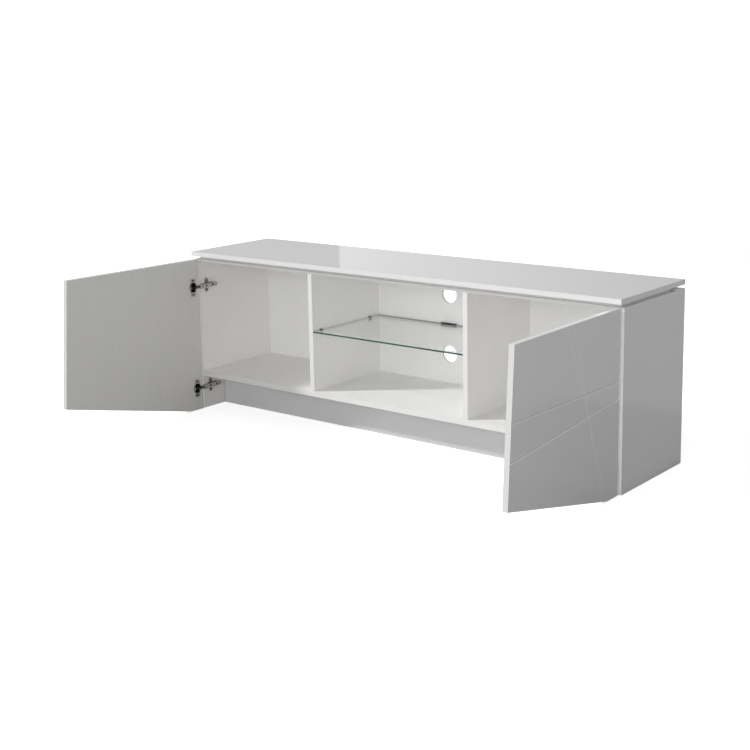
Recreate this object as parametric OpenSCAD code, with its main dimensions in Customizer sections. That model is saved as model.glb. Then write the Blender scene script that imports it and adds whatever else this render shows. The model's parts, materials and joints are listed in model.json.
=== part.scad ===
// Low TV stand in white gloss board: two doors, an open middle bay with a glass shelf,
// and a top panel that floats on a shadow gap.
// X runs along the front, Y from front to back, Z up. The origin is on the floor,
// under the middle of the closed cabinet.

/* [Overall size] */
// Width of the stand
width = 1650; // [1400:10:2000]
// Depth of the top panel
depth = 385; // [350:5:450]
// Height of the stand
height = 555; // [500:5:600]

/* [Boards] */
// Thickness of the carcass boards
board_t = 16; // [15:1:19]
// Thickness of the top panel
top_t = 15; // [12:1:19]
// Thickness of the bay floor board
bottom_t = 18; // [16:1:22]
// Thickness of the board that closes the bays under the shadow gap
carcass_top_t = 8; // [6:1:11]
// Thickness of the back panels
back_t = 8; // [3:1:10]

/* [Carcass] */
// Height of the shadow gap between the side panels and the top panel
shadow_gap = 11; // [8:1:14]
// How far the rail in the shadow gap stands behind the carcass front
rail_setback = 10; // [5:1:60]
// How far the carcass front stands behind the front of the top panel
front_setback = 18; // [17:1:22]
// Distance from the middle of the stand to the middle of each partition
partition_x = 303; // [240:1:360]
// Height of the plinth, up to the underside of the bay floor
plinth_h = 116; // [90:1:130]
// Gap between each end of the front plinth and the side panel
plinth_end_gap = 4; // [0.5:0.5:5]
// How far the plinth stands behind the front of the top panel
plinth_setback = 118; // [80:1:150]
// Distance from the back panels' rear faces to the rear of the stand
back_recess = 12; // [8:1:25]
// Diameter of the two cable holes
cable_hole_d = 57; // [50:1:70]

/* [Doors] */
// Thickness of the doors
door_t = 16; // [15:1:17]
// Width of a door along its top edge
door_top_w = 542; // [480:1:600]
// Width of a door at the lowest point of its free edge
door_low_w = 572; // [480:1:620]
// Height above the floor of the lowest point of the free edge
door_free_z = 118; // [90:1:150]
// Length of the level foot of the door beside its hinges
door_foot_run = 62; // [40:1:120]
// Gap between the floor and the foot of a door
door_floor_gap = 2; // [2:1:12]
// Opening angle of the left door at rest
left_door_open = 93; // [0:1:105]
// Opening angle of the right door at rest
right_door_open = 91; // [0:1:105]

/* [Door grooves] */
// Width of the two main grooves
main_groove_w = 4; // [2:0.5:6]
// Depth of the two main grooves
main_groove_depth = 1.8; // [1:0.1:3]
// Width of the two fine grooves
fine_groove_w = 2; // [1:0.5:4]
// Depth of the two fine grooves
fine_groove_depth = 0.8; // [0.4:0.1:2]

/* [Glass shelf] */
// Thickness of the glass
glass_t = 5; // [4:1:8]
// Height of the underside of the glass
glass_z = 329; // [240:1:420]
// Distance from the glass's rear edge to the back panel
glass_rear_gap = 5; // [4:1:20]

/* [Hinges] */
// Height of the upper hinges
upper_hinge_z = 434; // [380:1:460]
// Height of the lower hinges
lower_hinge_z = 79; // [60:1:84]

/* [Hidden] */

$fn = 48;

// Colours
white_gloss = [0.93, 0.93, 0.94];
white_board = [0.88, 0.88, 0.88];
nickel = [0.62, 0.61, 0.58];
glass_green = [0.72, 0.86, 0.80, 0.5];
dark_plastic = [0.16, 0.17, 0.18];
beech = [0.80, 0.66, 0.47];

LEFT = -1;
RIGHT = 1;

// Carcass planes
front_y = -depth / 2;
rear_y = depth / 2;
carcass_y = front_y + front_setback;
carcass_d = rear_y - carcass_y;
half_w = width / 2;
inner_x = half_w - board_t;
top_z = height - top_t;
side_h = top_z - shadow_gap;
carcass_top_z = side_h - carcass_top_t;
floor_z = plinth_h + bottom_t;
partition_in = partition_x - board_t / 2;
partition_out = partition_x + board_t / 2;
back_y = rear_y - back_recess - back_t;
bay_h = carcass_top_z - floor_z;
plinth_y = front_y + plinth_setback;
plinth_rear_y = back_y - 2 * board_t;

// Grooves that hold the back panels
groove_depth = 4;
groove_play = 0.4;
groove_w = back_t + 0.2;

// Cable holes stand near the middle of the space above and below the glass
cable_low_z = (floor_z + glass_z) / 2;
cable_high_z = (glass_z + glass_t + carcass_top_z) / 2 + 3;

// Door swing: the pivot axis stands inside the outer corner of the closed door
pivot_in = 8;
pivot_back = 2;
pivot_x = half_w - pivot_in;
pivot_y = front_y + pivot_back;
edge_gap = 1;
door_x0 = edge_gap - pivot_in;
door_y0 = -pivot_back;
door_inner_y = door_y0 + door_t;
door_top = side_h;

// Ends of the door grooves: [distance from the hinge edge, height]
main_grooves = [[[0, 325], [door_low_w, 336]], [[0, 278], [door_low_w, 235]]];
fine_grooves = [[[60, 0], [290, side_h]], [[89, 0], [255, side_h]]];
groove_overrun = 12;

// Concealed hinge
cup_r = 17.5;
cup_depth = 11.5;
cup_wall = 0.5;
cup_edge = 27;
cup_x = door_x0 + cup_edge;
wing_h = 31;
wing_w = 11;
wing_t = 1.2;
wing_corner = 5;
cup_screw_z = 24;
nose = [17.2, 7.4];
nose_r = 2.4;
pin_r = 1.45;
link_bore_r = 1.5;
link_t = 2;
link_reach = 17.2;
link_hook = 7.2;
link_start = 15;
link_bend = 99;
link_ratio = 1.05;
link_half_w = 4.4;
eye_half_w = 5.6;
arm_half_w = 7.2;
arm_wall = 1.1;
arm_web_x = 14;
arm_foot_x = 7.2;
arm_end = 66;
arm_web_start = 5;
plate_y = 31;
plate_half_w = 8;
plate_half_h = 26;
plate_t = 2;
plate_body_half = 5.9;
plate_body = [24, 60];
plate_screw_z = 16;
arm_screw_y = [20, 50];
clip_half_w = 5.5;
clip_run = 5;

// Screws and dowels
screw_clear = 0.05;
screw_r = 2;
cup_screw_r = 1.5;
head_r = 4;
head_t = 2;
top_bore = carcass_top_t - 2;
dowel_r = 4;
dowel_rows = [carcass_y + 40, 0, back_y - 30];
top_screw_x = [150, 480, 760];
rail_w = 30;
rail_front = carcass_y + rail_setback;
rail_rear = back_y - 45;
top_screw_y = [rail_front + rail_w / 2, rail_rear - rail_w / 2];

// Cam fittings that pull the bay floor to the side panels
cam_r = 7.5;
cam_t = 12.5;
cam_reach = 34;
cam_bolt_r = 3;
cam_rows = [carcass_y + 80, back_y - 70];

// Battens under the carcass top
cleat_w = 18;
cleat_front = carcass_y + 100;
cleat_rear = back_y - 10;

// Glass shelf and its pegs
glass_play = 1.5;
glass_y0 = carcass_y;
glass_y1 = back_y - glass_rear_gap;
glass_top_z = glass_z + glass_t;
peg_r = 2.5;
peg_drop = 5;
lip_gap = 0.4;
lip_t = 2;
support_y = [carcass_y + 38, back_y - 55];

// Clip light on the rear edge of the glass
clip_w = 59;
clip_y0 = glass_y1 - 6;
clip_y1 = back_y - 1;
clip_nose = 2;
clip_low = 4.6;
clip_high = 2.2;
clip_wall = 2;
lens_t = 1.2;
led_board_t = 1;

// ---- Placing helpers ----

// Puts a shape drawn for the left end at either end
module at_side(side) {
    mirror([side == RIGHT ? 1 : 0, 0, 0]) children();
}

// Hinge frame: origin on the door's pivot axis, X towards the middle, Y to the back
module at_pivot(side) {
    at_side(side) translate([-pivot_x, pivot_y, 0]) children();
}

// Door frame: the hinge frame turned to the door's opening angle
module on_door(side) {
    angle = side == LEFT ? left_door_open : right_door_open;
    at_pivot(side) rotate([0, 0, -angle]) children();
}

// Carcass hinge frame: origin on the side panel's inner front edge
module on_side_panel(side, z) {
    at_side(side) translate([-inner_x, carcass_y, z]) children();
}

// A board given by its two opposite corners
module board(a, b) {
    translate(a) cube(b - a);
}

// A round bar along Y
module bar_y(r, from, to) {
    translate([0, from, 0]) rotate([-90, 0, 0]) cylinder(r = r, h = to - from);
}

// A round bar along X
module bar_x(r, from, to) {
    translate([from, 0, 0]) rotate([0, 90, 0]) cylinder(r = r, h = to - from);
}

// ---- Fitting positions, drawn for the left end ----

module at_floor_dowels() {
    for (y = dowel_rows)
        translate([-inner_x, y, plinth_h + bottom_t / 2]) children();
}

module at_partition_dowels(z) {
    for (y = dowel_rows)
        translate([-partition_x, y, z]) children();
}

module at_cams() {
    for (y = cam_rows)
        translate([-inner_x, y, plinth_h + bottom_t / 2]) children();
}

module at_hinge_heights() {
    for (z = [upper_hinge_z, lower_hinge_z])
        translate([0, 0, z]) children();
}

module at_cup_screws() {
    for (z = [-cup_screw_z, cup_screw_z])
        translate([cup_x, 0, z]) children();
}

module at_plate_screws() {
    for (z = [-plate_screw_z, plate_screw_z])
        translate([0, plate_y, z]) children();
}

// ---- Carcass ----

module top_panel() {
    color(white_gloss) difference() {
        board([-half_w, front_y, top_z], [half_w, rear_y, height]);
        at_top_screws(top_z - 1) cylinder(r = screw_r + screw_clear, h = 11);
    }
}

module at_top_screws(z) {
    for (side = [LEFT, RIGHT], x = top_screw_x, y = top_screw_y)
        translate([side * x, y, z]) children();
}

// Rail that holds the top panel off the carcass, from the left end to the right end
module top_rail_long(y) {
    color(white_board) difference() {
        board([-inner_x, y, side_h], [inner_x, y + rail_w, top_z]);
        at_top_screws(side_h - 1) cylinder(r = screw_r + screw_clear, h = shadow_gap + 2);
    }
}

// Short rail between the two long ones
module top_rail_end(side) {
    color(white_board) at_side(side)
        board([-inner_x, rail_front + rail_w, side_h], [-inner_x + rail_w, rail_rear - rail_w, top_z]);
}

module carcass_top() {
    color(white_board) difference() {
        board([-inner_x, carcass_y, carcass_top_z], [inner_x, rear_y, side_h]);
        translate([-half_w, back_y, carcass_top_z - 1]) cube([width, groove_w, groove_depth + 1]);
        at_top_screws(carcass_top_z - 1) cylinder(r = screw_r + screw_clear, h = carcass_top_t + 2);
        at_top_screws(carcass_top_z - 1) cylinder(r = head_r + 0.2, h = head_t + 1.1);
        for (side = [LEFT, RIGHT]) at_side(side) {
            at_partition_dowels(carcass_top_z - 1) cylinder(r = dowel_r + screw_clear, h = top_bore + 1);
            at_cleat_screws_up() translate([0, 0, -1]) cylinder(r = screw_r + screw_clear, h = top_bore + 1);
        }
    }
}

module side_panel(side) {
    color(white_gloss) at_side(side) difference() {
        board([-half_w, carcass_y, 0], [-inner_x, rear_y, side_h]);
        translate([-inner_x - groove_depth, back_y, floor_z - groove_depth])
            cube([groove_depth + 1, groove_w, bay_h + 2 * groove_depth]);
        at_floor_dowels() bar_x(dowel_r + screw_clear, -12, 1);
        at_cams() bar_x(cam_bolt_r + screw_clear, -11, 1);
        on_side_panel(LEFT, 0) at_hinge_heights() at_plate_screws() bar_x(screw_r + screw_clear, -12, 1);
        at_cleat_screws_out() bar_x(screw_r + screw_clear, -10, 1);
    }
}

module bottom_panel() {
    color(white_board) difference() {
        board([-inner_x, carcass_y, plinth_h], [inner_x, rear_y, floor_z]);
        translate([-half_w, back_y, floor_z - groove_depth]) cube([width, groove_w, groove_depth + 1]);
        for (side = [LEFT, RIGHT]) at_side(side) {
            at_floor_dowels() bar_x(dowel_r + screw_clear, -1, 18);
            at_partition_dowels(floor_z - 12) cylinder(r = dowel_r + screw_clear, h = 13);
            at_cams() bar_x(cam_bolt_r + 0.5, -1, 30);
            at_cams() translate([cam_reach, 0, -bottom_t])
                cylinder(r = cam_r + screw_clear, h = bottom_t + 3.6);
        }
    }
}

module partition(side) {
    color(white_board) at_side(side) difference() {
        board([-partition_out, carcass_y, floor_z], [-partition_in, rear_y, carcass_top_z]);
        for (x = [-partition_out - 1, -partition_in - groove_depth])
            translate([x, back_y, floor_z - 1]) cube([groove_depth + 1, groove_w, bay_h + 2]);
        at_partition_dowels(floor_z - 1) cylinder(r = dowel_r + screw_clear, h = 20);
        at_partition_dowels(carcass_top_z - 19) cylinder(r = dowel_r + screw_clear, h = 20);
        for (y = support_y)
            translate([-partition_in, y, glass_z - peg_drop]) bar_x(peg_r + screw_clear, -8, 1);
    }
}

// A back panel between two upright grooves; it stands on the bottom of the floor groove
module back_panel(x0, x1) {
    board([x0 - groove_depth + groove_play, back_y, floor_z - groove_depth],
          [x1 + groove_depth - groove_play, back_y + back_t, carcass_top_z + groove_depth - groove_play]);
}

module back_left() {
    color(white_board) back_panel(-inner_x, -partition_out);
}

module back_right() {
    color(white_board) back_panel(partition_out, inner_x);
}

module back_centre() {
    color(white_board) difference() {
        back_panel(-partition_in, partition_in);
        for (z = [cable_low_z, cable_high_z])
            translate([0, 0, z]) bar_y(cable_hole_d / 2, back_y - 1, back_y + back_t + 1);
    }
}

module plinth_front() {
    end_x = inner_x - plinth_end_gap;
    color(white_gloss) board([-end_x, plinth_y, 0], [end_x, plinth_y + board_t, plinth_h]);
}

module plinth_rear() {
    color(white_board) board([-inner_x, plinth_rear_y, 0], [inner_x, plinth_rear_y + board_t, plinth_h]);
}

module plinth_centre_rail() {
    color(white_board)
        board([-board_t / 2, plinth_y + board_t, 0], [board_t / 2, plinth_rear_y, plinth_h]);
}

// Square batten in the corner under the carcass top
module top_cleat(side) {
    color(beech) at_side(side) difference() {
        board([-inner_x, cleat_front, carcass_top_z - cleat_w],
              [-inner_x + cleat_w, cleat_rear, carcass_top_z]);
        at_cleat_screws_up() translate([0, 0, -cleat_w - 1])
            cylinder(r = screw_r + screw_clear, h = cleat_w + 2);
        at_cleat_screws_out() bar_x(screw_r + screw_clear, -1, cleat_w + 1);
    }
}

module at_cleat_screws_up() {
    for (y = [cleat_front + 20, cleat_rear - 20])
        translate([-inner_x + cleat_w / 2, y, carcass_top_z]) children();
}

module at_cleat_screws_out() {
    for (y = [cleat_front + 60, cleat_rear - 60])
        translate([-inner_x, y, carcass_top_z - cleat_w / 2]) children();
}

// ---- Doors ----

// V groove in the front face, between two points [distance from hinge edge, height]
module v_groove(ends, w, d) {
    run = ends[1] - ends[0];
    slope = atan2(run[1], run[0]);
    translate([ends[0][0], 0, ends[0][1]])
        rotate([0, 90 - slope, 0])
            translate([0, 0, -groove_overrun])
                linear_extrude(norm(run) + 2 * groove_overrun)
                    polygon([[-w / 2, -1], [w / 2, -1], [w / 2, 0], [0, d], [-w / 2, 0]]);
}

// Outline of the door seen from the front, from the hinge edge
module door_outline() {
    polygon([
        [0, door_floor_gap],
        [door_foot_run, door_floor_gap],
        [door_low_w, door_free_z],
        [door_top_w, door_top],
        [0, door_top]
    ]);
}

module door(side) {
    color(white_gloss) on_door(side) difference() {
        translate([door_x0, door_inner_y, 0]) rotate([90, 0, 0]) linear_extrude(door_t) door_outline();
        translate([door_x0, door_y0, 0]) {
            for (ends = main_grooves) v_groove(ends, main_groove_w, main_groove_depth);
            for (ends = fine_grooves) v_groove(ends, fine_groove_w, fine_groove_depth);
        }
        at_hinge_heights() {
            translate([cup_x, 0, 0]) bar_y(cup_r, door_inner_y - cup_depth, door_inner_y + 1);
            at_cup_screws() bar_y(cup_screw_r + screw_clear, door_inner_y - 10, door_inner_y + 1);
        }
    }
}

// ---- Hinges ----

// Thin-walled cup sunk in the door, with a wing above and below that lies on the door
module hinge_cup(side, z) {
    color(nickel) on_door(side) translate([0, 0, z]) difference() {
        union() {
            translate([cup_x, 0, 0]) bar_y(cup_r, door_inner_y - cup_depth, door_inner_y);
            cup_wings();
        }
        translate([cup_x, 0, 0])
            bar_y(cup_r - cup_wall, door_inner_y - cup_depth + cup_wall, door_inner_y + wing_t + 1);
        at_cup_screws() bar_y(cup_screw_r + screw_clear, door_inner_y - 1, door_inner_y + wing_t + 1);
    }
}

// Rounded plate on the door's inner face; the cup's mouth leaves only its two ends
module cup_wings() {
    straight = wing_h - wing_corner;
    translate([cup_x, door_inner_y, 0]) {
        translate([-wing_w, 0, -straight]) cube([2 * wing_w, wing_t, 2 * straight]);
        translate([-wing_w + wing_corner, 0, -wing_h])
            cube([2 * (wing_w - wing_corner), wing_t, 2 * wing_h]);
        for (x = [-1, 1], z = [-1, 1])
            translate([x * (wing_w - wing_corner), 0, z * straight]) bar_y(wing_corner, 0, wing_t);
    }
}

module cup_screws(side) {
    color(nickel) on_door(side) at_hinge_heights() at_cup_screws() {
        bar_y(cup_screw_r, door_inner_y - 9.5, door_inner_y + wing_t);
        translate([0, door_inner_y + wing_t, 0]) screw_head(3.4, 1.4);
    }
}

// Low round head with a cross recess; it points along +Y
module screw_head(r, h) {
    difference() {
        bar_y(r, 0, h);
        for (a = [0, 90])
            rotate([0, a, 0]) translate([-r * 0.6, h * 0.45, -r * 0.14]) cube([r * 1.2, h, r * 0.28]);
    }
}

// Dog-leg link, drawn from its eye at the arm's nose to its hooked end in the cup
module hinge_link(side, z) {
    angle = side == LEFT ? left_door_open : right_door_open;
    color(nickel) at_pivot(side) translate([nose[0], nose[1], z])
        rotate([0, 0, link_start - link_ratio * angle]) difference() {
            union() {
                translate([0, 0, -eye_half_w]) cylinder(r = nose_r, h = 2 * eye_half_w);
                translate([0, -link_t / 2, -link_half_w]) cube([link_reach, link_t, 2 * link_half_w]);
                translate([link_reach, 0, -link_half_w]) {
                    cylinder(r = link_t / 2, h = 2 * link_half_w);
                    rotate([0, 0, -link_bend]) translate([0, -link_t / 2, 0])
                        cube([link_hook, link_t, 2 * link_half_w]);
                    rotate([0, 0, -link_bend]) translate([link_hook, 0, 0])
                        cylinder(r = link_t / 2, h = 2 * link_half_w);
                }
            }
            translate([0, 0, -eye_half_w - 1]) cylinder(r = link_bore_r, h = 2 * eye_half_w + 2);
        }
}

module hinge_pin(side, z) {
    reach = arm_half_w + 0.4;
    color(nickel) at_pivot(side) translate([nose[0], nose[1], z - reach])
        cylinder(r = pin_r, h = 2 * reach);
}

// The nose of the arm in the carcass hinge frame
nose_x = nose[0] - pivot_in;
nose_y = nose[1] + pivot_back - front_setback;

// Side wall of the arm: a tapered strip from the plate to the nose
module arm_wall_outline() {
    polygon([
        [nose_x - nose_r, nose_y],
        [nose_x - nose_r, 3],
        [arm_foot_x, 8],
        [arm_foot_x, arm_end],
        [arm_web_x - 1, arm_end],
        [arm_web_x, arm_end - 3],
        [arm_web_x, arm_web_start],
        [nose_x + nose_r, nose_y]
    ]);
    translate([nose_x, nose_y]) circle(nose_r);
}

module hinge_arm(side, z) {
    color(nickel) on_side_panel(side, z) difference() {
        union() {
            for (s = [-arm_half_w, arm_half_w - arm_wall])
                translate([0, 0, s]) linear_extrude(arm_wall) arm_wall_outline();
            board([arm_web_x - arm_wall, arm_web_start, -arm_half_w], [arm_web_x, arm_end - 3, arm_half_w]);
            board([arm_foot_x, arm_end - arm_wall, -arm_half_w], [arm_web_x - 1, arm_end, arm_half_w]);
        }
        translate([nose_x, nose_y, -arm_half_w - 1]) cylinder(r = pin_r, h = 2 * arm_half_w + 2);
        for (y = arm_screw_y) translate([0, y, 0]) bar_x(2.5, arm_web_x - arm_wall - 1, arm_web_x + 1);
    }
}

// Cruciform mounting plate screwed to the side panel, with the ridge that the arm sits on
module hinge_plate(side, z) {
    color(nickel) on_side_panel(side, z) difference() {
        union() {
            plate_wings();
            board([0, plate_body[0] - 6, -plate_half_w], [plate_t, plate_body[1], plate_half_w]);
            board([0, plate_body[0], -plate_body_half], [arm_foot_x, plate_body[1], plate_body_half]);
        }
        at_plate_screws() bar_x(screw_r + screw_clear, -1, plate_t + 1);
    }
}

// Upright wings of the plate, with round ends
module plate_wings() {
    straight = plate_half_h - plate_half_w;
    board([0, plate_y - plate_half_w, -straight], [plate_t, plate_y + plate_half_w, straight]);
    for (z = [-straight, straight])
        translate([0, plate_y, z]) bar_x(plate_half_w, 0, plate_t);
}

module plate_screws() {
    color(nickel) for (side = [LEFT, RIGHT])
        on_side_panel(side, 0) at_hinge_heights() at_plate_screws() {
            bar_x(screw_r, -11.5, plate_t);
            translate([plate_t, 0, 0]) rotate([0, 0, -90]) screw_head(head_r, 1.8);
        }
}

module arm_screws() {
    color(nickel) for (side = [LEFT, RIGHT])
        on_side_panel(side, 0) at_hinge_heights()
            for (y = arm_screw_y) translate([arm_web_x, y, 0]) {
                bar_x(2.4, -5, 0);
                rotate([0, 0, -90]) screw_head(3.6, 1.5);
            }
}

// Release lever at the rear end of each arm
module arm_clips() {
    color(dark_plastic) for (side = [LEFT, RIGHT])
        on_side_panel(side, 0) at_hinge_heights()
            translate([0, 0, -clip_half_w]) linear_extrude(2 * clip_half_w) polygon([
                [arm_foot_x, arm_end],
                [arm_foot_x, arm_end + clip_run],
                [arm_foot_x + 2, arm_end + clip_run + 1],
                [arm_web_x - 1, arm_end + 2],
                [arm_web_x - 1, arm_end]
            ]);
}

// ---- Glass shelf and its light ----

module glass_shelf() {
    color(glass_green)
        board([-partition_in + glass_play, glass_y0, glass_z],
              [partition_in - glass_play, glass_y1, glass_top_z]);
}

// Round peg in the partition with a flat tongue and a raised seat under the glass, and a lip over it
module shelf_support(side, y) {
    lip_z = peg_drop + glass_t + lip_gap;
    color(nickel) at_side(side) translate([-partition_in, y, glass_z - peg_drop]) {
        bar_x(peg_r, -7.5, 0);
        bar_x(4, 0, 1.2);
        board([1.2, -4, 1], [11, 4, 4]);
        board([2.4, -3.4, 4], [10.4, 3.4, peg_drop]);
        board([0, -4, 0], [1.2, 4, lip_z + lip_t]);
        board([0, -4, lip_z], [8, 4, lip_z + lip_t]);
    }
}

// U-shaped clip over the rear edge of the glass
module light_clip_body() {
    color(dark_plastic) difference() {
        translate([-clip_w / 2, 0, 0]) rotate([90, 0, 90]) linear_extrude(clip_w) polygon([
            [clip_y0, glass_z - clip_low + 2],
            [clip_y0 + clip_nose, glass_z - clip_low],
            [clip_y1, glass_z - clip_low],
            [clip_y1, glass_top_z + clip_high],
            [clip_y0 + clip_nose, glass_top_z + clip_high],
            [clip_y0, glass_top_z + clip_high - 1.2]
        ]);
        board([-half_w, front_y, glass_z], [half_w, glass_y1, glass_top_z]);
        light_strip(clip_w / 2 - clip_wall, -1, lens_t + led_board_t, 0.4);
    }
}

// A strip that faces the rear edge of the glass, given by its distances behind that edge
module light_strip(half_len, from, to, margin) {
    board([-half_len, glass_y1 + from, glass_z + margin],
          [half_len, glass_y1 + to, glass_top_z - margin]);
}

// Small board that carries the light
module light_clip_board() {
    color("seagreen") light_strip(clip_w / 2 - 3, lens_t, lens_t + led_board_t, 0.6);
}

// Clear strip between the board and the edge of the glass
module light_clip_lens() {
    color([0.9, 0.95, 1, 0.6]) light_strip(clip_w / 2 - 3, 0, lens_t, 0.6);
}

// ---- Fasteners ----

module top_screws() {
    color(nickel) at_top_screws(carcass_top_z + 0.1) {
        cylinder(r = head_r, h = head_t);
        cylinder(r = screw_r, h = carcass_top_t + shadow_gap + 9);
    }
}

module cleat_screws() {
    color(nickel) for (side = [LEFT, RIGHT]) at_side(side) {
        at_cleat_screws_up() {
            translate([0, 0, -cleat_w]) cylinder(r = screw_r, h = cleat_w + top_bore - 1);
            translate([0, 0, -cleat_w - head_t]) cylinder(r = head_r, h = head_t);
        }
        at_cleat_screws_out() {
            bar_x(screw_r, -9, cleat_w);
            bar_x(head_r, cleat_w, cleat_w + head_t);
        }
    }
}

module dowels() {
    color(beech) for (side = [LEFT, RIGHT]) at_side(side) {
        at_floor_dowels() bar_x(dowel_r, -11, 17);
        at_partition_dowels(floor_z - 11) cylinder(r = dowel_r, h = 29);
        at_partition_dowels(carcass_top_z - 18) cylinder(r = dowel_r, h = 17 + top_bore);
    }
}

module cam_bolts() {
    color(nickel) for (side = [LEFT, RIGHT]) at_side(side) at_cams() {
        bar_x(cam_bolt_r, -10, 24);
        bar_x(cam_bolt_r - 1, 24, 30);
        bar_x(cam_bolt_r, 30, 33);
    }
}

module cam_discs() {
    color(nickel) for (side = [LEFT, RIGHT]) at_side(side) at_cams()
        translate([cam_reach, 0, -bottom_t / 2]) difference() {
            cylinder(r = cam_r, h = cam_t);
            translate([0, 0, bottom_t / 2]) bar_x(cam_bolt_r + 0.6, -cam_r - 1, 1);
            translate([-5, -0.8, -1]) cube([10, 1.6, 3]);
            translate([-0.8, -5, -1]) cube([1.6, 10, 3]);
        }
}

// ---- Nodes ----

top_panel();
top_rail_long(rail_front);  // top_rail_front
top_rail_long(rail_rear - rail_w);  // top_rail_rear
top_rail_end(LEFT);  // left_top_rail
top_rail_end(RIGHT);  // right_top_rail
carcass_top();
side_panel(LEFT);  // left_side_panel
side_panel(RIGHT);  // right_side_panel
bottom_panel();
partition(LEFT);  // left_partition
partition(RIGHT);  // right_partition
back_left();
back_centre();
back_right();
plinth_front();
plinth_rear();
plinth_centre_rail();
top_cleat(LEFT);  // left_top_cleat
top_cleat(RIGHT);  // right_top_cleat
door(LEFT);  // left_door
door(RIGHT);  // right_door
glass_shelf();
shelf_support(LEFT, support_y[0]);  // shelf_support_left_front
shelf_support(LEFT, support_y[1]);  // shelf_support_left_rear
shelf_support(RIGHT, support_y[0]);  // shelf_support_right_front
shelf_support(RIGHT, support_y[1]);  // shelf_support_right_rear
light_clip_body();
light_clip_board();
light_clip_lens();
hinge_plate(LEFT, upper_hinge_z);  // left_upper_plate
hinge_plate(LEFT, lower_hinge_z);  // left_lower_plate
hinge_plate(RIGHT, upper_hinge_z);  // right_upper_plate
hinge_plate(RIGHT, lower_hinge_z);  // right_lower_plate
hinge_arm(LEFT, upper_hinge_z);  // left_upper_arm
hinge_arm(LEFT, lower_hinge_z);  // left_lower_arm
hinge_arm(RIGHT, upper_hinge_z);  // right_upper_arm
hinge_arm(RIGHT, lower_hinge_z);  // right_lower_arm
hinge_pin(LEFT, upper_hinge_z);  // left_upper_pin
hinge_pin(LEFT, lower_hinge_z);  // left_lower_pin
hinge_pin(RIGHT, upper_hinge_z);  // right_upper_pin
hinge_pin(RIGHT, lower_hinge_z);  // right_lower_pin
hinge_link(LEFT, upper_hinge_z);  // left_upper_link
hinge_link(LEFT, lower_hinge_z);  // left_lower_link
hinge_link(RIGHT, upper_hinge_z);  // right_upper_link
hinge_link(RIGHT, lower_hinge_z);  // right_lower_link
hinge_cup(LEFT, upper_hinge_z);  // left_upper_cup
hinge_cup(LEFT, lower_hinge_z);  // left_lower_cup
hinge_cup(RIGHT, upper_hinge_z);  // right_upper_cup
hinge_cup(RIGHT, lower_hinge_z);  // right_lower_cup
cup_screws(LEFT);  // left_cup_screws
cup_screws(RIGHT);  // right_cup_screws
plate_screws();
arm_screws();
arm_clips();
top_screws();
cleat_screws();
dowels();
cam_bolts();
cam_discs();
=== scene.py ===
"""Looks for the white gloss TV stand: materials, softened edges, floor, lights and camera, built round the
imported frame. Lengths are in metres, colours are linear, and noise scales count features per metre."""

import json
import math

import bpy
from mathutils import Matrix, Vector

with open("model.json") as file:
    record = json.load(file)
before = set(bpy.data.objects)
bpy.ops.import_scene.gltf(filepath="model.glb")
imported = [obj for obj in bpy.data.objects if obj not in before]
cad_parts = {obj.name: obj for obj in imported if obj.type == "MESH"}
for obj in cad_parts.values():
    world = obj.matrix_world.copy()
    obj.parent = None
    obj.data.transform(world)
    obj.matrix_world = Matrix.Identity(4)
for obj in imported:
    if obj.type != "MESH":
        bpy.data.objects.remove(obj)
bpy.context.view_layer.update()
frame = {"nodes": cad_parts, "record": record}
NODES = frame["nodes"]
MM = 0.001

# The middle part of a noise's range, where most of its values lie
NOISE_LOW = 0.3
NOISE_HIGH = 0.7


# ---------------------------------------------------------------- node helpers

class NodeTree:
    """Short calls that add nodes to a tree. A value is a number, a colour or another node's output."""

    def __init__(self, tree):
        self.tree = tree

    def fill(self, socket, value):
        if isinstance(value, bpy.types.NodeSocket):
            self.tree.links.new(value, socket)
        else:
            socket.default_value = value

    def add(self, kind, inputs, **settings):
        node = self.tree.nodes.new("ShaderNode" + kind)
        for key, value in settings.items():
            setattr(node, key, value)
        for key, value in inputs.items():
            self.fill(node.inputs[key], value)
        return node

    def surface(self, shader):
        """Sends a shader's output to the end of the tree."""
        end = next(node for node in self.tree.nodes if "Output" in node.bl_idname)
        self.tree.links.new(shader, end.inputs["Surface"])

    def mix_shaders(self, share, first, second):
        return self.add("MixShader", {"Fac": share, 1: first, 2: second}).outputs[0]

    def for_camera(self, unseen, seen):
        """One shader for what the camera sees, and another for reflections and bounced light."""
        path = self.add("LightPath", {})
        return self.mix_shaders(path.outputs["Is Camera Ray"], unseen, seen)


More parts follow.
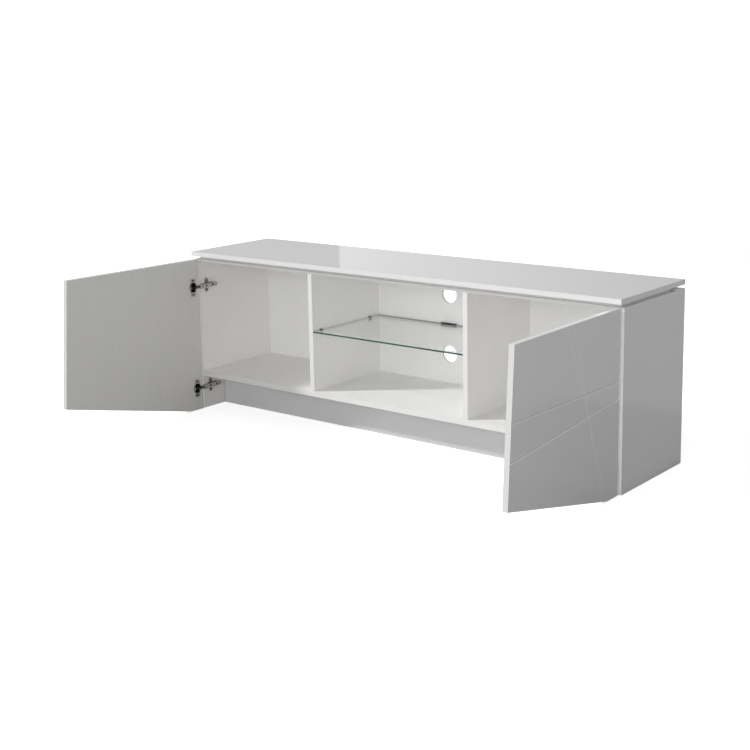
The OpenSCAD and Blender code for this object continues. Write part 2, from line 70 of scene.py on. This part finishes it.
class Finish(NodeTree):
    """A material with one Principled shader, and short calls that add procedural detail to it."""

    def __init__(self, name, **values):
        self.mat = bpy.data.materials.new(name)
        self.mat.use_nodes = True
        super().__init__(self.mat.node_tree)
        self.shader = self.tree.nodes["Principled BSDF"]
        self.coord = self.add("TexCoord", {})
        for key, value in values.items():
            self.set(key.replace("_", " "), value)

    def set(self, socket, value):
        self.fill(self.shader.inputs[socket], value)

    def math(self, operation, *values):
        return self.add("Math", dict(enumerate(values)), operation=operation).outputs[0]

    def normal(self, axis):
        """One part of the direction that the object's own surface faces."""
        return self.add("SeparateXYZ", {0: self.coord.outputs["Normal"]}).outputs[axis]

    def place(self, axis):
        """One object coordinate."""
        return self.add("SeparateXYZ", {0: self.coord.outputs["Object"]}).outputs[axis]

    def facing(self, axis, sign, least=0.8):
        """1 on the faces that look along an axis of the object, 0 elsewhere."""
        return self.math("GREATER_THAN", self.math("MULTIPLY", self.normal(axis), sign), least)

    def noise(self, scale, stretch=(1, 1, 1), detail=3.0):
        """Noise on object coordinates, stretched along an axis by a factor under 1."""
        place = self.add("Mapping", {"Vector": self.coord.outputs["Object"], "Scale": stretch})
        inputs = {"Vector": place.outputs["Vector"], "Scale": scale, "Detail": detail, "Roughness": 0.5}
        return self.add("TexNoise", inputs).outputs["Fac"]

    def ramp(self, fac, low, high):
        """A colour between two tones, over the middle part of a noise's range."""
        node = self.add("ValToRGB", {"Fac": fac})
        for stop, position, tone in zip(node.color_ramp.elements, (NOISE_LOW, NOISE_HIGH), (low, high)):
            stop.position = position
            stop.color = (*tone, 1)
        return node.outputs["Color"]

    def map_range(self, value, low, high, start=NOISE_LOW, end=NOISE_HIGH):
        """A number between two ends, by default over the middle part of a noise's range."""
        inputs = {"Value": value, "From Min": start, "From Max": end, "To Min": low, "To Max": high}
        return self.add("MapRange", inputs).outputs["Result"]

    def blend_colors(self, fac, first, second):
        return self.add("Mix", {0: fac, 6: first, 7: second}, data_type="RGBA").outputs[2]

    def blend_numbers(self, fac, first, second):
        return self.add("Mix", {0: fac, 2: first, 3: second}, data_type="FLOAT").outputs[0]

    def bump(self, height, distance):
        node = self.add("Bump", {"Height": height, "Distance": distance, "Strength": 1.0})
        self.set("Normal", node.outputs["Normal"])


# ---------------------------------------------------------------- materials

# Each finish runs between a darker and a lighter tone
LACQUER = ((0.718, 0.707, 0.708), (0.738, 0.727, 0.728))
MELAMINE = ((0.880, 0.870, 0.856), (0.905, 0.895, 0.881))
EDGE_BAND = ((0.72, 0.715, 0.70), (0.75, 0.745, 0.73))
HARDBOARD = ((0.875, 0.875, 0.868), (0.895, 0.895, 0.888))
BATTEN = ((0.52, 0.37, 0.22), (0.68, 0.52, 0.34))
DOOR_BACK = ((0.665, 0.658, 0.635), (0.69, 0.683, 0.66))
# Painted shade: a door's edges are darker than its faces
DOOR_EDGE_PAINTED_SHADE = ((0.60, 0.597, 0.592), (0.63, 0.627, 0.622))
# Painted light: a door's top edge is lighter, as if lit from above
DOOR_TOP_PAINTED_LIGHT = ((0.92, 0.92, 0.915), (0.95, 0.95, 0.945))
# Painted shade on the left side panel's front edge, where the open left door shades it, and painted light on
# the right side panel's front edge
LEFT_FRONT_PAINTED_SHADE = ((0.60, 0.60, 0.595), (0.63, 0.63, 0.625))
RIGHT_FRONT_PAINTED_LIGHT = ((0.92, 0.92, 0.915), (0.95, 0.95, 0.945))
# Painted light and shade in a door's grooves: the walls are lighter than the face, the walls that look up
# lighter still, and the walls that look down are painted dark
GROOVE_WALL_PAINTED_LIGHT = ((0.80, 0.80, 0.80), (0.83, 0.83, 0.83))
GROOVE_UP_PAINTED_LIGHT = ((0.88, 0.88, 0.88), (0.91, 0.91, 0.91))
GROOVE_DOWN_PAINTED_SHADE = ((0.24, 0.24, 0.24), (0.28, 0.28, 0.28))
NICKEL = ((0.52, 0.50, 0.47), (0.62, 0.60, 0.57))
# Painted shade on the nickel's faces that look up or down
NICKEL_PAINTED_SHADE = ((0.10, 0.095, 0.085), (0.15, 0.145, 0.13))
CUP_SHADE = ((0.06, 0.058, 0.052), (0.10, 0.096, 0.088))
DARK_STEEL = ((0.10, 0.097, 0.09), (0.16, 0.155, 0.14))
# Painted shade on the dark steel's faces that look up or down
DARK_STEEL_PAINTED_SHADE = ((0.05, 0.048, 0.045), (0.08, 0.078, 0.07))
DARK_PLASTIC = ((0.018, 0.018, 0.020), (0.032, 0.032, 0.035))
CLEAR_PLASTIC = ((0.86, 0.88, 0.89), (0.93, 0.94, 0.95))
SOLDER_MASK = ((0.01, 0.10, 0.04), (0.02, 0.16, 0.07))
GLASS_TINT = ((0.984, 0.992, 0.988), (0.990, 0.996, 0.993))
GLASS_EDGE = ((0.024, 0.066, 0.048), (0.040, 0.092, 0.070))
GLASS_SIDES = ((0.50, 0.53, 0.52), (0.58, 0.61, 0.60))
# Painted highlight: pale green on the upward arrises and on a strip of the upper face by the front edge
GLASS_PAINTED_HIGHLIGHT = ((0.58, 0.80, 0.69), (0.66, 0.86, 0.76))

# The pressed grain of the satin boards, drawn out along Z
UPRIGHT_GRAIN = {"scale": 160.0, "stretch": (1, 1, 0.03), "detail": 4.0}

# How much clear coat lies over the lacquer
COAT = 0.35

# The most that a leaning groove wall, and an edge, of a door look along X
LEANING = 0.85
CROSSWISE = 0.3

# The shaded part of a hinge cup's well at rest: further than CUP_WELL from the middle of the stand, and
# behind CUP_MIDDLE
CUP_WELL = 0.811
CUP_MIDDLE = -0.209

# The glass's front edge, and how far back and how strongly a painted highlight on the upper face stands in
# for the edge shining through
GLASS_FRONT = -0.1745
PAINTED_HIGHLIGHT_RUN = 0.016
PAINTED_HIGHLIGHT_SHARE = 0.45

# The share of light that clear glass mirrors when it is looked at head on
GLASS_MIRROR = 0.04


def gloss_lacquer(name, satin_side=0, satin_tones=MELAMINE, painted_front_tones=None, door=False):
    """High-gloss white lacquer with a faint orange peel. The face that looks along satin_side X is satin
    board. A panel's front edge takes the front tones, which are painted light or shade, and a door's edges,
    top edge and groove walls have their own painted light and shade."""
    m = Finish(name, IOR=1.5, Coat_Weight=COAT, Coat_Roughness=0.03)
    tone = m.ramp(m.noise(2.2), *LACQUER)
    rough = m.map_range(m.noise(9.0), 0.055, 0.10)
    if door:
        # A door's broad faces look along X at rest. Its groove walls lean from that, and its edges look
        # straight across it. Painted light and shade go on these: lighter groove walls, dark groove walls
        # that look down, darker edges and a lighter top edge.
        across = m.math("ABSOLUTE", m.normal("X"))
        speck = m.noise(400.0)
        up, down = m.facing("Z", 1, least=0.4), m.facing("Z", -1, least=0.4)
        wall = m.blend_colors(up, m.ramp(speck, *GROOVE_WALL_PAINTED_LIGHT), m.ramp(speck, *GROOVE_UP_PAINTED_LIGHT))
        wall = m.blend_colors(down, wall, m.ramp(speck, *GROOVE_DOWN_PAINTED_SHADE))
        tone = m.blend_colors(m.math("LESS_THAN", across, LEANING), tone, wall)
        tone = m.blend_colors(m.math("LESS_THAN", across, CROSSWISE), tone, m.ramp(speck, *DOOR_EDGE_PAINTED_SHADE))
        tone = m.blend_colors(m.facing("Z", 1), tone, m.ramp(speck, *DOOR_TOP_PAINTED_LIGHT))
    # Painted light or shade on a side panel's front edge
    if painted_front_tones:
        tone = m.blend_colors(m.facing("Y", -1), tone, m.ramp(m.noise(20.0), *painted_front_tones))
    if satin_side:
        inside = m.facing("X", satin_side)
        tone = m.blend_colors(inside, tone, m.ramp(m.noise(**UPRIGHT_GRAIN), *satin_tones))
        rough = m.blend_numbers(inside, rough, m.map_range(m.noise(30.0), 0.30, 0.40))
        m.set("Coat Weight", m.math("MULTIPLY_ADD", inside, -COAT, COAT))
    m.set("Base Color", tone)
    m.set("Roughness", rough)
    m.bump(m.noise(240.0, detail=1.0), 0.012 * MM)
    return m.mat


def board_melamine():
    """Satin white melamine with a faint upright grain pressed into it, and a plain edge band at the front."""
    m = Finish("white_melamine", IOR=1.5)
    grain = m.noise(**UPRIGHT_GRAIN)
    band = m.ramp(m.noise(20.0), *EDGE_BAND)
    m.set("Base Color", m.blend_colors(m.facing("Y", -1), m.ramp(grain, *MELAMINE), band))
    m.set("Roughness", m.map_range(m.noise(30.0), 0.30, 0.40))
    m.bump(grain, 0.04 * MM)
    return m.mat


def back_hardboard():
    """Thin painted hardboard: matt, with a fine even tooth."""
    m = Finish("white_hardboard")
    m.set("Base Color", m.ramp(m.noise(70.0, stretch=(1, 1, 0.05)), *HARDBOARD))
    m.set("Roughness", m.map_range(m.noise(40.0), 0.42, 0.55))
    m.bump(m.noise(900.0, detail=2.0), 0.03 * MM)
    return m.mat


def bare_wood():
    """Sanded pale batten with long grain."""
    m = Finish("pale_batten")
    grain = m.noise(260.0, stretch=(1, 0.04, 1), detail=5.0)
    m.set("Base Color", m.ramp(grain, *BATTEN))
    m.set("Roughness", m.map_range(grain, 0.55, 0.7))
    m.bump(grain, 0.15 * MM)
    return m.mat


def plated_steel(name, bright, dark, cup=False):
    """Satin plating on pressed steel, with painted shade: it is darker on the faces that look up or down, and
    on a hinge cup in the rear half of the well."""
    m = Finish(name, Metallic=1.0)
    shade = m.math("GREATER_THAN", m.math("ABSOLUTE", m.normal("Z")), 0.7)
    if cup:
        deep = m.math("GREATER_THAN", m.math("ABSOLUTE", m.place("X")), CUP_WELL)
        rear = m.math("GREATER_THAN", m.place("Y"), CUP_MIDDLE)
        shade = m.math("MAXIMUM", shade, m.math("MULTIPLY", deep, rear))
    dark_tone = m.ramp(m.noise(200.0), *dark)
    m.set("Base Color", m.blend_colors(shade, m.ramp(m.noise(120.0), *bright), dark_tone))
    m.set("Roughness", m.map_range(m.noise(420.0, stretch=(1, 0.2, 1)), 0.20, 0.36))
    m.bump(m.noise(1500.0, detail=2.0), 0.01 * MM)
    return m.mat


def dark_plastic():
    """Dark moulded plastic with a fine spark texture."""
    m = Finish("dark_plastic")
    m.set("Base Color", m.ramp(m.noise(300.0), *DARK_PLASTIC))
    m.set("Roughness", m.map_range(m.noise(200.0), 0.32, 0.5))
    m.bump(m.noise(2500.0, detail=1.0), 0.03 * MM)
    return m.mat


def clear_plastic():
    """The slightly frosted strip over the shelf light."""
    m = Finish("clear_plastic", IOR=1.46, Transmission_Weight=0.75)
    m.set("Base Color", m.ramp(m.noise(90.0), *CLEAR_PLASTIC))
    m.set("Roughness", m.map_range(m.noise(300.0), 0.12, 0.22))
    return m.mat


def circuit_board():
    """Green solder mask."""
    m = Finish("circuit_board")
    m.set("Base Color", m.ramp(m.noise(500.0), *SOLDER_MASK))
    m.set("Roughness", m.map_range(m.noise(200.0), 0.3, 0.45))
    return m.mat


def shelf_glass():
    """Float glass: clear faces that mirror more at a slant, a deep green front edge, grey side edges, and a
    painted pale green highlight on the upward arrises and on a strip of the upper face by the front edge,
    standing in for the front edge shining through."""
    m = Finish("float_glass", IOR=1.5)
    speck = m.noise(60.0)
    green, grey, pale = (m.ramp(speck, *tones) for tones in (GLASS_EDGE, GLASS_SIDES, GLASS_PAINTED_HIGHLIGHT))
    edge = m.blend_colors(m.facing("Y", -1), grey, green)
    m.set("Base Color", m.blend_colors(m.facing("Z", 1, least=0.3), edge, pale))
    m.set("Roughness", m.map_range(m.noise(90.0), 0.05, 0.12))

    clear = m.add("BsdfTransparent", {"Color": m.ramp(m.noise(3.0), *GLASS_TINT)})
    mirror = m.add("BsdfGlossy", {"Roughness": 0.01, "Color": (1, 1, 1, 1)})
    slant = m.add("LayerWeight", {"Blend": 0.5})
    steep = m.math("POWER", slant.outputs["Facing"], 5.0)
    mirrored = m.math("MULTIPLY_ADD", steep, 1 - GLASS_MIRROR, GLASS_MIRROR)
    face = m.mix_shaders(mirrored, clear.outputs[0], mirror.outputs[0])

    level = m.math("GREATER_THAN", m.math("ABSOLUTE", m.normal("Z")), 0.9)
    # The painted highlight strip on the upper face by the front edge
    near_front = m.math("LESS_THAN", m.place("Y"), GLASS_FRONT + PAINTED_HIGHLIGHT_RUN)
    glow = m.math("MULTIPLY", near_front, m.facing("Z", 1))
    see_through = m.math("MULTIPLY", level, m.math("MULTIPLY_ADD", glow, -PAINTED_HIGHLIGHT_SHARE, 1.0))
    m.surface(m.mix_shaders(see_through, m.shader.outputs[0], face))
    return m.mat


MATERIALS = {
    "white_gloss": gloss_lacquer("white_gloss_lacquer"),
    "white_board": board_melamine(),
    "back_board": back_hardboard(),
    "bare_wood": bare_wood(),
    "nickel": plated_steel("nickel_plate", NICKEL, NICKEL_PAINTED_SHADE),
    "dark_plastic": dark_plastic(),
    "clear_plastic": clear_plastic(),
    "circuit_board": circuit_board(),
    "shelf_glass": shelf_glass(),
}

# Pieces that differ from their slot's material: boards that are satin on the face that looks into the stand,
# with painted light and shade on the side panels' front edges and on the doors' edges and grooves, and
# fittings in darker steel
SPECIAL = {
    "left_side_panel": gloss_lacquer("left_panel_faces", 1, painted_front_tones=LEFT_FRONT_PAINTED_SHADE),
    "right_side_panel": gloss_lacquer("right_panel_faces", -1, painted_front_tones=RIGHT_FRONT_PAINTED_LIGHT),
    "left_door": gloss_lacquer("left_door_faces", 1, DOOR_BACK, door=True),
    "right_door": gloss_lacquer("right_door_faces", -1, DOOR_BACK, door=True),
}
DARK_ENDINGS = ("_link", "_cup_screws", "plate_screws", "arm_screws")
dark_steel = plated_steel("dark_steel", DARK_STEEL, DARK_STEEL_PAINTED_SHADE)
cup_steel = plated_steel("cup_steel", NICKEL, CUP_SHADE, cup=True)
for name in NODES.keys():
    if name.endswith("_cup"):
        SPECIAL[name] = cup_steel
    elif name.startswith("shelf_support") or name.endswith(DARK_ENDINGS):
        SPECIAL[name] = dark_steel


# ---------------------------------------------------------------- pieces

# The round on the sharp edges of each slot's pieces: its width, and its number of steps
EDGE_ROUND = {
    "white_gloss": (0.9 * MM, 2),
    "white_board": (0.6 * MM, 2),
    "back_board": (0.2 * MM, 2),
    "nickel": (0.15 * MM, 2),
    "shelf_glass": (0.9 * MM, 1),
}
SHARP_EDGE = math.radians(60)


def dress(obj, material):
    obj.data.materials.clear()
    obj.data.materials.append(material)


def soften(obj, width, segments):
    """A small round on the piece's sharp edges."""
    mod = obj.modifiers.new("edge_round", "BEVEL")
    mod.width = width
    mod.segments = segments
    mod.limit_method = "ANGLE"
    mod.angle_limit = SHARP_EDGE
    mod.harden_normals = True
    mod.use_clamp_overlap = True
    mod.miter_outer = "MITER_SHARP"


for part in frame["record"]["subparts"]:
    node, slot = NODES[part["node"]], part["material_slot"]
    dress(node, SPECIAL.get(part["node"], MATERIALS[slot]))
    if slot in EDGE_ROUND:
        soften(node, *EDGE_ROUND[slot])


# ---------------------------------------------------------------- floor, backdrop and light

# The floor looks white to the camera, and gives the object less light than it shows. Past the pale corner,
# beside the stand's right end, it gives more.
FLOOR_HALF = 14.0
FLOOR_TONE = 0.30
PALE_FLOOR_TONE = 0.52
PALE_FLOOR_CORNER = {"X": 0.84, "Y": -0.182}
SEEN_FLOOR_GLOW = 0.67
SEEN_FLOOR_TONE = 0.8

WORLD_TINT = (0.98, 0.99, 1.0)
WORLD_FILL = 0.43
SEEN_WORLD = 1.05

KEY_SUN = 2.2
KEY_SPREAD = math.radians(5)
KEY_ELEVATION = math.radians(34)
KEY_PLAN = Vector((0.783, 0.621, 0))  # the way that the key light travels, seen from above

SOFTBOX_WIDTH = 2.6
SOFTBOX_HEIGHT = 2.0
SOFTBOX_TARGET = Vector((0, 0, 0.3))
FRONT_LEFT_PLACE = Vector((-2.0, -4.6, 1.1))
FRONT_LEFT_POWER = 19
FRONT_RIGHT_PLACE = Vector((1.9, -4.6, 1.1))
FRONT_RIGHT_POWER = 72

# Two glowing cards stand side by side behind the stand. Where they meet shows as a line in the top panel.
CARD_Y = 3.0
CARD_LOW = 0.95
CARD_HIGH = 1.4
CARD_LEFT = -6.0
CARD_MEETING = -2.853
CARD_RIGHT = -0.2
DIM_GLOW = 0.56
CARD_GLOW = 0.88
CARD_FAR_GLOW = 0.40


def link(name, data):
    obj = bpy.data.objects.new(name, data)
    bpy.context.scene.collection.objects.link(obj)
    return obj


def make_sheet(name, corners, material):
    """A flat stage piece with four corners."""
    mesh = bpy.data.meshes.new(name)
    mesh.from_pydata(corners, [], [(0, 1, 2, 3)])
    mesh.materials.append(material)
    obj = link(name, mesh)
    return obj


def floor_material():
    """Pale studio floor, with a matt surface for the camera and another for bounced light."""
    m = Finish("studio_floor", Roughness=0.6)
    beyond = [m.math("GREATER_THAN", m.place(axis), edge) for axis, edge in PALE_FLOOR_CORNER.items()]
    m.set("Base Color", m.map_range(m.math("MULTIPLY", *beyond), FLOOR_TONE, PALE_FLOOR_TONE, 0, 1))
    glow = m.add("Emission", {"Strength": SEEN_FLOOR_GLOW})
    matt = m.add("BsdfDiffuse", {"Color": (SEEN_FLOOR_TONE, SEEN_FLOOR_TONE, SEEN_FLOOR_TONE, 1)})
    seen = m.add("AddShader", {0: glow.outputs[0], 1: matt.outputs[0]})
    m.surface(m.for_camera(m.shader.outputs[0], seen.outputs[0]))
    return m.mat


def make_floor():
    half = FLOOR_HALF
    corners = [(-half, -half, 0), (half, -half, 0), (half, half, 0), (-half, half, 0)]
    make_sheet("studio_floor", corners, floor_material())


def make_world():
    world = bpy.data.worlds.new("studio")
    bpy.context.scene.world = world
    world.use_nodes = True
    w = NodeTree(world.node_tree)
    unseen = w.tree.nodes["Background"]
    unseen.inputs["Color"].default_value = (*WORLD_TINT, 1)
    unseen.inputs["Strength"].default_value = WORLD_FILL
    seen = w.add("Background", {"Color": (1, 1, 1, 1), "Strength": SEEN_WORLD})
    w.surface(w.for_camera(unseen.outputs[0], seen.outputs[0]))


def make_light(name, kind, direction, energy, place=(0, 0, 0), **settings):
    data = bpy.data.lights.new(name, kind)
    data.energy = energy
    for key, value in settings.items():
        setattr(data, key, value)
    obj = link(name, data)
    obj.location = place
    obj.rotation_mode = "QUATERNION"
    obj.rotation_quaternion = direction.to_track_quat("-Z", "Y")


def make_softbox(name, place, power):
    shape = {"shape": "RECTANGLE", "size": SOFTBOX_WIDTH, "size_y": SOFTBOX_HEIGHT}
    make_light(name, "AREA", SOFTBOX_TARGET - place, power, place, **shape)


def make_card(name, left, right, left_glow, right_glow):
    """An upright glowing card that the camera doesn't see, for the gloss top to mirror."""
    m = Finish(name)
    m.tree.nodes.remove(m.shader)
    glow = m.add("Emission", {"Strength": m.map_range(m.place("X"), left_glow, right_glow, left, right)})
    m.surface(glow.outputs[0])
    low = [(left, CARD_Y, CARD_LOW), (right, CARD_Y, CARD_LOW)]
    high = [(right, CARD_Y, CARD_HIGH), (left, CARD_Y, CARD_HIGH)]
    make_sheet(name, low + high, m.mat).visible_camera = False


make_floor()
make_world()
key_direction = KEY_PLAN * math.cos(KEY_ELEVATION) - Vector((0, 0, math.sin(KEY_ELEVATION)))
make_light("key", "SUN", key_direction, KEY_SUN, angle=KEY_SPREAD)
make_softbox("front_left", FRONT_LEFT_PLACE, FRONT_LEFT_POWER)
make_softbox("front_right", FRONT_RIGHT_PLACE, FRONT_RIGHT_POWER)
make_card("back_card", CARD_MEETING, CARD_RIGHT, CARD_GLOW, CARD_FAR_GLOW)
make_card("dim_card", CARD_LEFT, CARD_MEETING, DIM_GLOW, DIM_GLOW)


# ---------------------------------------------------------------- camera

EYE = (2.5208, -3.3687, 1.2224)
VIEW_LINE = Vector((-0.613515, 0.766551, -0.189737))
ROLL = math.radians(-1.026)
LENS_MM = 64.53
SENSOR_MM = 36
SHIFT = -0.086667
FAR_LIMIT = 100

camera_data = bpy.data.cameras.new("camera")
camera_data.lens = LENS_MM
camera_data.sensor_width = SENSOR_MM
camera_data.shift_y = SHIFT
camera_data.clip_end = FAR_LIMIT
camera = link("camera", camera_data)
camera.location = EYE
camera.rotation_mode = "QUATERNION"
roll = Matrix.Rotation(ROLL, 4, "Z").to_quaternion()
camera.rotation_quaternion = VIEW_LINE.to_track_quat("-Z", "Y") @ roll
bpy.context.scene.camera = camera
bpy.context.scene.view_settings.view_transform = "Standard"
